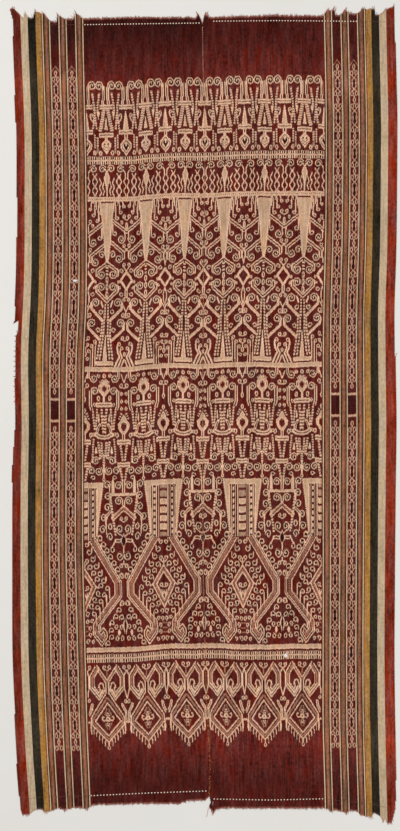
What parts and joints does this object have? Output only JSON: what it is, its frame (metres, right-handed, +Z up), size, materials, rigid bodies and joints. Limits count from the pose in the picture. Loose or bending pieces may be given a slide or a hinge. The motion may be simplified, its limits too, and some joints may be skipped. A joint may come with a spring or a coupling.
{
  "type": "ikat woven cloth",
  "caption": "Ceremonial cotton cloth of joined loom widths, lying flat, with warp ikat figures in cream on maroon and striped side borders.",
  "frame": {"origin": "centre of the cloth's bounding box, on the surface that the cloth rests on", "axes": "+X across the width, +Y along the warp towards the end with the plain band and the row of paired spirals, +Z up from the surface"},
  "size_m": [1.046, 2.208, 0.0015],
  "materials": {
    "left_panel": "matt handspun cotton, warp-faced plain weave",
    "right_panel": "matt handspun cotton, warp-faced plain weave"
  },
  "bodies": {
    "root": {"left_panel": "left_panel", "right_panel": "right_panel"}
  },
  "joints": []
}
